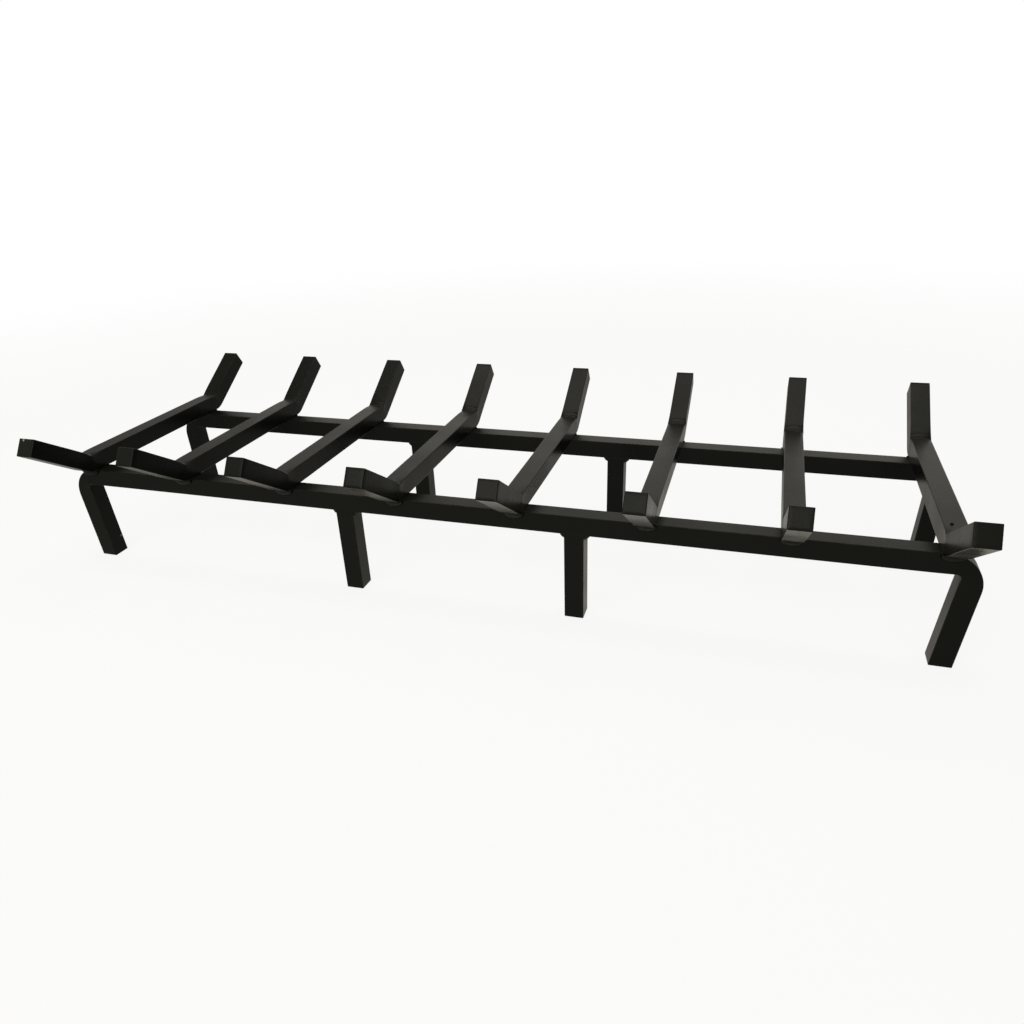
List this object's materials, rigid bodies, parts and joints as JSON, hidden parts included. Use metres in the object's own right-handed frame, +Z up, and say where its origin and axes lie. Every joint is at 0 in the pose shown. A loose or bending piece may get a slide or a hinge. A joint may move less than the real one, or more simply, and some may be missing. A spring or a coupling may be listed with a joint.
{
  "type": "log grate",
  "caption": "Fireplace log grate of solid square steel bars, bent up at both ends and welded across two rails whose ends turn down as legs, with middle legs under the rails.",
  "frame": {"origin": "on the floor, under the middle of the overall box", "axes": "+X along the rails to the right seen from the front, +Y to the rear, +Z up"},
  "size_m": [0.937, 0.3708, 0.1706],
  "materials": {
    "bar_paint": "satin heat-proof black over square bar stock",
    "weld_paint": "satin heat-proof black over rippled weld bead"
  },
  "bodies": {
    "root": {"bar_1": "bar_paint", "bar_2": "bar_paint", "bar_3": "bar_paint", "bar_4": "bar_paint", "bar_5": "bar_paint", "bar_6": "bar_paint", "bar_7": "bar_paint", "bar_8": "bar_paint", "front_rail": "bar_paint", "rear_rail": "bar_paint", "front_leg_left": "bar_paint", "front_leg_right": "bar_paint", "rear_leg_left": "bar_paint", "rear_leg_right": "bar_paint", "weld_front_1": "weld_paint", "weld_front_2": "weld_paint", "weld_front_3": "weld_paint", "weld_front_4": "weld_paint", "weld_front_5": "weld_paint", "weld_front_6": "weld_paint", "weld_front_7": "weld_paint", "weld_front_8": "weld_paint", "weld_inner_1": "weld_paint", "weld_inner_2": "weld_paint", "weld_inner_3": "weld_paint", "weld_inner_4": "weld_paint", "weld_inner_5": "weld_paint", "weld_inner_6": "weld_paint", "weld_inner_7": "weld_paint", "weld_inner_8": "weld_paint", "weld_outer_1": "weld_paint", "weld_outer_2": "weld_paint", "weld_outer_3": "weld_paint", "weld_outer_4": "weld_paint", "weld_outer_5": "weld_paint", "weld_outer_6": "weld_paint", "weld_outer_7": "weld_paint", "weld_outer_8": "weld_paint", "front_leg_left_weld_left": "weld_paint", "front_leg_left_weld_right": "weld_paint", "front_leg_right_weld_left": "weld_paint", "front_leg_right_weld_right": "weld_paint", "rear_leg_left_weld_left": "weld_paint", "rear_leg_left_weld_right": "weld_paint", "rear_leg_right_weld_left": "weld_paint", "rear_leg_right_weld_right": "weld_paint"}
  },
  "joints": []
}
